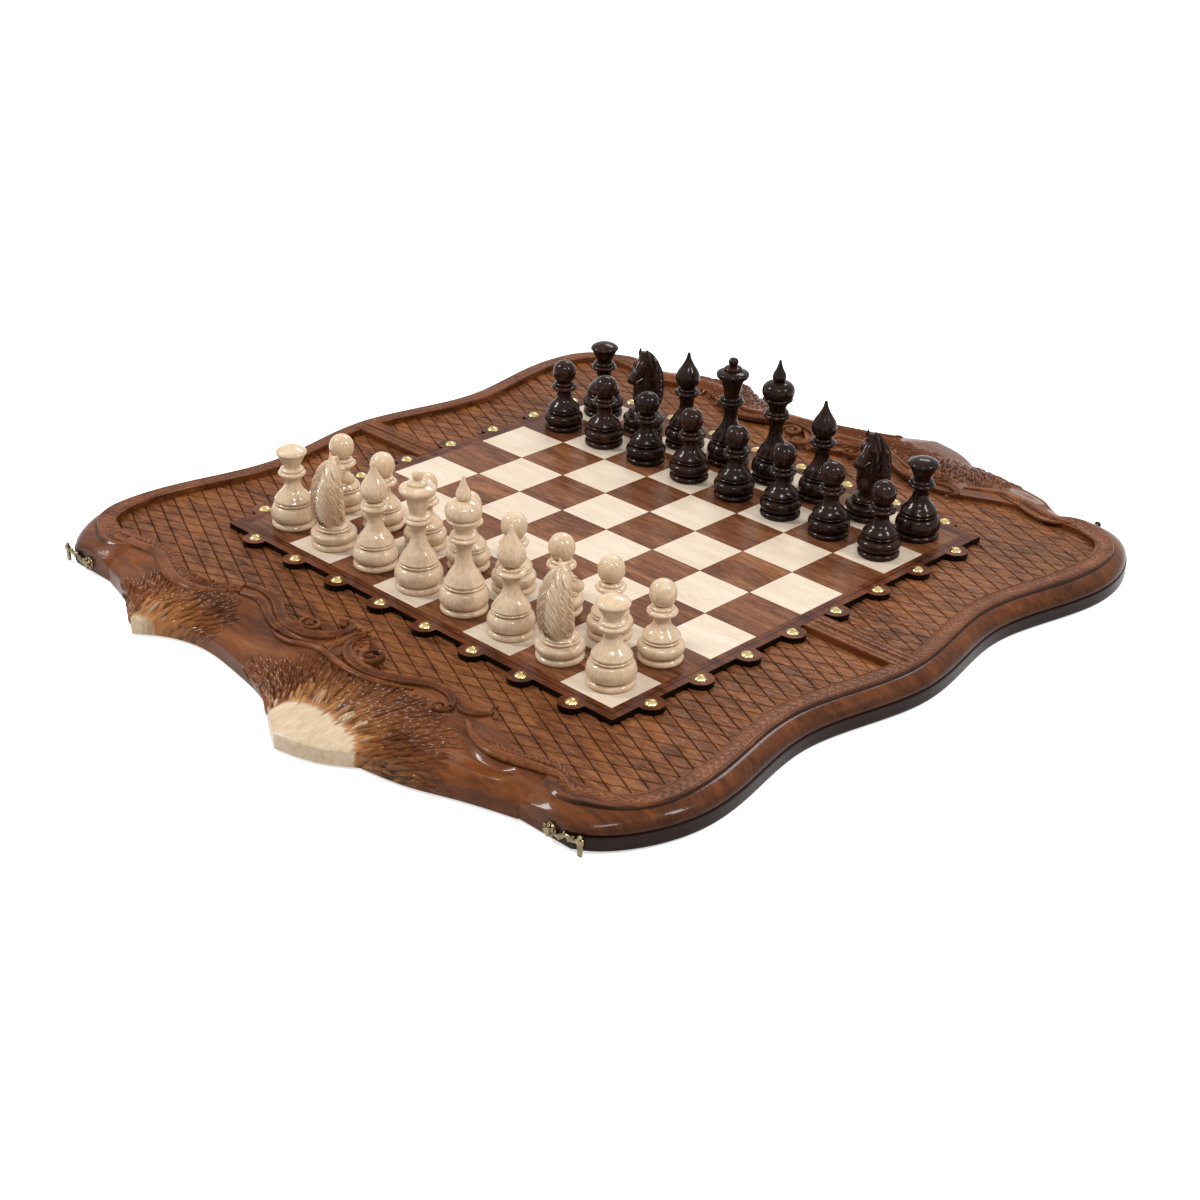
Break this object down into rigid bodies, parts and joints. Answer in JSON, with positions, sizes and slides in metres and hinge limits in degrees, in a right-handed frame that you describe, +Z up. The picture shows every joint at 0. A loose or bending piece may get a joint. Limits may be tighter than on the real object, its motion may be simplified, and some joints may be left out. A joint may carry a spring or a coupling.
{
  "type": "chess and backgammon set",
  "caption": "Folding wooden game box, open flat with its inlaid chess field up, a waisted moulded rim, a sculpted front edge, brass hook latches and turned chess pieces set up to play.",
  "frame": {"origin": "on the table under the middle of the fold, halfway along it", "axes": "+X along the fold to the right hand of the white player, +Y from the white side to the black side, +Z up"},
  "size_m": [0.5718, 0.6704, 0.1198],
  "materials": {
    "walnut_case": "carved, stained and lacquered, glossy",
    "walnut_panel": "satin lacquer",
    "maple_square": "gloss lacquered veneer",
    "walnut_square": "gloss lacquered veneer",
    "polished_brass": "polished",
    "antique_brass": "aged, dark in the hollows",
    "hinge_brass": "satin",
    "tray_veneer": "satin lacquered veneer",
    "light_point": "satin lacquered veneer",
    "dark_point": "satin lacquered veneer",
    "boxwood_piece": "turned and lacquered, glossy",
    "dark_piece": "turned and lacquered, glossy"
  },
  "bodies": {
    "white_half": {"white_half_case": "walnut_case", "white_half_chess_panel": "walnut_panel", "white_half_light_squares": "maple_square", "white_half_dark_squares": "walnut_square", "white_half_nails": "polished_brass", "white_half_tray_floor": "tray_veneer", "white_half_light_points": "light_point", "white_half_dark_points": "dark_point", "white_half_hinge_leaves": "hinge_brass", "white_half_hinge_screws": "hinge_brass", "hinge_pins": "hinge_brass", "hook_screws": "antique_brass"},
    "black_half": {"black_half_case": "walnut_case", "black_half_chess_panel": "walnut_panel", "black_half_light_squares": "maple_square", "black_half_dark_squares": "walnut_square", "black_half_nails": "polished_brass", "black_half_tray_floor": "tray_veneer", "black_half_light_points": "light_point", "black_half_dark_points": "dark_point", "black_half_hinge_leaves": "hinge_brass", "black_half_hinge_screws": "hinge_brass", "keeper_studs": "antique_brass"},
    "left_hook": {"left_hook": "antique_brass"},
    "right_hook": {"right_hook": "antique_brass"},
    "white_rook_a": {"white_rook_a": "boxwood_piece"},
    "white_pawn_a": {"white_pawn_a": "boxwood_piece"},
    "white_knight_b": {"white_knight_b": "boxwood_piece"},
    "white_pawn_b": {"white_pawn_b": "boxwood_piece"},
    "white_bishop_c": {"white_bishop_c": "boxwood_piece"},
    "white_pawn_c": {"white_pawn_c": "boxwood_piece"},
    "white_queen": {"white_queen": "boxwood_piece"},
    "white_pawn_d": {"white_pawn_d": "boxwood_piece"},
    "white_king": {"white_king": "boxwood_piece"},
    "white_pawn_e": {"white_pawn_e": "boxwood_piece"},
    "white_bishop_f": {"white_bishop_f": "boxwood_piece"},
    "white_pawn_f": {"white_pawn_f": "boxwood_piece"},
    "white_knight_g": {"white_knight_g": "boxwood_piece"},
    "white_pawn_g": {"white_pawn_g": "boxwood_piece"},
    "white_rook_h": {"white_rook_h": "boxwood_piece"},
    "white_pawn_h": {"white_pawn_h": "boxwood_piece"},
    "black_rook_a": {"black_rook_a": "dark_piece"},
    "black_pawn_a": {"black_pawn_a": "dark_piece"},
    "black_knight_b": {"black_knight_b": "dark_piece"},
    "black_pawn_b": {"black_pawn_b": "dark_piece"},
    "black_bishop_c": {"black_bishop_c": "dark_piece"},
    "black_pawn_c": {"black_pawn_c": "dark_piece"},
    "black_queen": {"black_queen": "dark_piece"},
    "black_pawn_d": {"black_pawn_d": "dark_piece"},
    "black_king": {"black_king": "dark_piece"},
    "black_pawn_e": {"black_pawn_e": "dark_piece"},
    "black_bishop_f": {"black_bishop_f": "dark_piece"},
    "black_pawn_f": {"black_pawn_f": "dark_piece"},
    "black_knight_g": {"black_knight_g": "dark_piece"},
    "black_pawn_g": {"black_pawn_g": "dark_piece"},
    "black_rook_h": {"black_rook_h": "dark_piece"},
    "black_pawn_h": {"black_pawn_h": "dark_piece"}
  },
  "joints": [
    {"name": "fold", "type": "hinge", "parent": "white_half", "child": "black_half", "pos_m": [0, 0, 0.0016], "axis": [-1, 0, 0], "range_deg": [0, 180]},
    {"name": "right_hook_turn", "type": "hinge", "parent": "white_half", "child": "right_hook", "pos_m": [0.231, -0.2825, 0.0076], "axis": [0, 1, 0], "range_deg": [0, 90]},
    {"name": "left_hook_turn", "type": "hinge", "parent": "white_half", "child": "left_hook", "pos_m": [-0.231, -0.2825, 0.0076], "axis": [0, -1, 0], "range_deg": [0, 90]},
    {"name": "white_rook_a_lift", "type": "slide", "parent": "white_half", "child": "white_rook_a", "axis": [0, 0, 1], "range_m": [0, 0.12]},
    {"name": "white_pawn_a_lift", "type": "slide", "parent": "white_half", "child": "white_pawn_a", "axis": [0, 0, 1], "range_m": [0, 0.12]},
    {"name": "white_knight_b_lift", "type": "slide", "parent": "white_half", "child": "white_knight_b", "axis": [0, 0, 1], "range_m": [0, 0.12]},
    {"name": "white_pawn_b_lift", "type": "slide", "parent": "white_half", "child": "white_pawn_b", "axis": [0, 0, 1], "range_m": [0, 0.12]},
    {"name": "white_bishop_c_lift", "type": "slide", "parent": "white_half", "child": "white_bishop_c", "axis": [0, 0, 1], "range_m": [0, 0.12]},
    {"name": "white_pawn_c_lift", "type": "slide", "parent": "white_half", "child": "white_pawn_c", "axis": [0, 0, 1], "range_m": [0, 0.12]},
    {"name": "white_queen_lift", "type": "slide", "parent": "white_half", "child": "white_queen", "axis": [0, 0, 1], "range_m": [0, 0.12]},
    {"name": "white_pawn_d_lift", "type": "slide", "parent": "white_half", "child": "white_pawn_d", "axis": [0, 0, 1], "range_m": [0, 0.12]},
    {"name": "white_king_lift", "type": "slide", "parent": "white_half", "child": "white_king", "axis": [0, 0, 1], "range_m": [0, 0.12]},
    {"name": "white_pawn_e_lift", "type": "slide", "parent": "white_half", "child": "white_pawn_e", "axis": [0, 0, 1], "range_m": [0, 0.12]},
    {"name": "white_bishop_f_lift", "type": "slide", "parent": "white_half", "child": "white_bishop_f", "axis": [0, 0, 1], "range_m": [0, 0.12]},
    {"name": "white_pawn_f_lift", "type": "slide", "parent": "white_half", "child": "white_pawn_f", "axis": [0, 0, 1], "range_m": [0, 0.12]},
    {"name": "white_knight_g_lift", "type": "slide", "parent": "white_half", "child": "white_knight_g", "axis": [0, 0, 1], "range_m": [0, 0.12]},
    {"name": "white_pawn_g_lift", "type": "slide", "parent": "white_half", "child": "white_pawn_g", "axis": [0, 0, 1], "range_m": [0, 0.12]},
    {"name": "white_rook_h_lift", "type": "slide", "parent": "white_half", "child": "white_rook_h", "axis": [0, 0, 1], "range_m": [0, 0.12]},
    {"name": "white_pawn_h_lift", "type": "slide", "parent": "white_half", "child": "white_pawn_h", "axis": [0, 0, 1], "range_m": [0, 0.12]},
    {"name": "black_rook_a_lift", "type": "slide", "parent": "black_half", "child": "black_rook_a", "axis": [0, 0, 1], "range_m": [0, 0.12]},
    {"name": "black_pawn_a_lift", "type": "slide", "parent": "black_half", "child": "black_pawn_a", "axis": [0, 0, 1], "range_m": [0, 0.12]},
    {"name": "black_knight_b_lift", "type": "slide", "parent": "black_half", "child": "black_knight_b", "axis": [0, 0, 1], "range_m": [0, 0.12]},
    {"name": "black_pawn_b_lift", "type": "slide", "parent": "black_half", "child": "black_pawn_b", "axis": [0, 0, 1], "range_m": [0, 0.12]},
    {"name": "black_bishop_c_lift", "type": "slide", "parent": "black_half", "child": "black_bishop_c", "axis": [0, 0, 1], "range_m": [0, 0.12]},
    {"name": "black_pawn_c_lift", "type": "slide", "parent": "black_half", "child": "black_pawn_c", "axis": [0, 0, 1], "range_m": [0, 0.12]},
    {"name": "black_queen_lift", "type": "slide", "parent": "black_half", "child": "black_queen", "axis": [0, 0, 1], "range_m": [0, 0.12]},
    {"name": "black_pawn_d_lift", "type": "slide", "parent": "black_half", "child": "black_pawn_d", "axis": [0, 0, 1], "range_m": [0, 0.12]},
    {"name": "black_king_lift", "type": "slide", "parent": "black_half", "child": "black_king", "axis": [0, 0, 1], "range_m": [0, 0.12]},
    {"name": "black_pawn_e_lift", "type": "slide", "parent": "black_half", "child": "black_pawn_e", "axis": [0, 0, 1], "range_m": [0, 0.12]},
    {"name": "black_bishop_f_lift", "type": "slide", "parent": "black_half", "child": "black_bishop_f", "axis": [0, 0, 1], "range_m": [0, 0.12]},
    {"name": "black_pawn_f_lift", "type": "slide", "parent": "black_half", "child": "black_pawn_f", "axis": [0, 0, 1], "range_m": [0, 0.12]},
    {"name": "black_knight_g_lift", "type": "slide", "parent": "black_half", "child": "black_knight_g", "axis": [0, 0, 1], "range_m": [0, 0.12]},
    {"name": "black_pawn_g_lift", "type": "slide", "parent": "black_half", "child": "black_pawn_g", "axis": [0, 0, 1], "range_m": [0, 0.12]},
    {"name": "black_rook_h_lift", "type": "slide", "parent": "black_half", "child": "black_rook_h", "axis": [0, 0, 1], "range_m": [0, 0.12]},
    {"name": "black_pawn_h_lift", "type": "slide", "parent": "black_half", "child": "black_pawn_h", "axis": [0, 0, 1], "range_m": [0, 0.12]}
  ]
}
